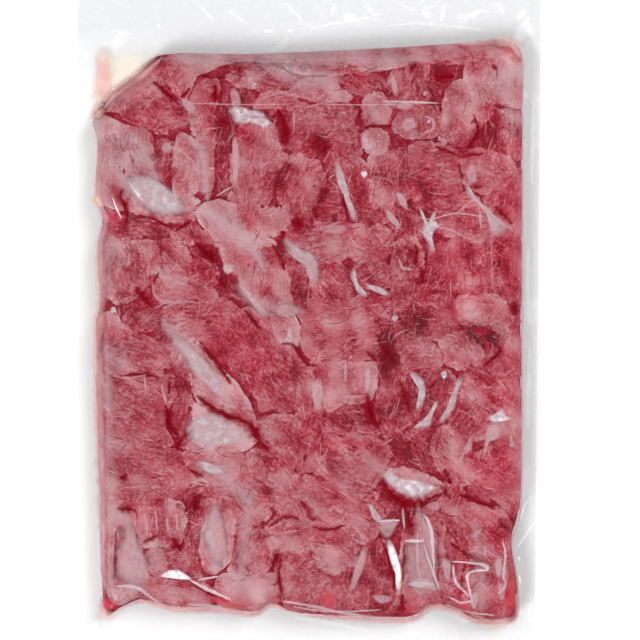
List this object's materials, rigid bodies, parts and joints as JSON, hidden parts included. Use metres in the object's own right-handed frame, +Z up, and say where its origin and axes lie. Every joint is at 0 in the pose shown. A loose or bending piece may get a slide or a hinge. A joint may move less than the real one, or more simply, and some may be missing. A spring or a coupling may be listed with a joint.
{
  "type": "vacuum pack of raw beef pieces",
  "caption": "Flat clear vacuum pouch filled with raw red beef tongue pieces pressed together, with a thin film margin all round.",
  "frame": {"origin": "middle of the pack's footprint, at the level of the surface that it lies on", "axes": "+Z up from the face it lies on, +Y along the pouch towards its wide end margin, +X across"},
  "size_m": [0.25, 0.35, 0.0192],
  "materials": {
    "raw_beef": "moist red meat under tight clear film",
    "clear_film": "thin clear glossy film"
  },
  "bodies": {
    "root": {"vacuum_pouch": "raw_beef"}
  },
  "joints": []
}
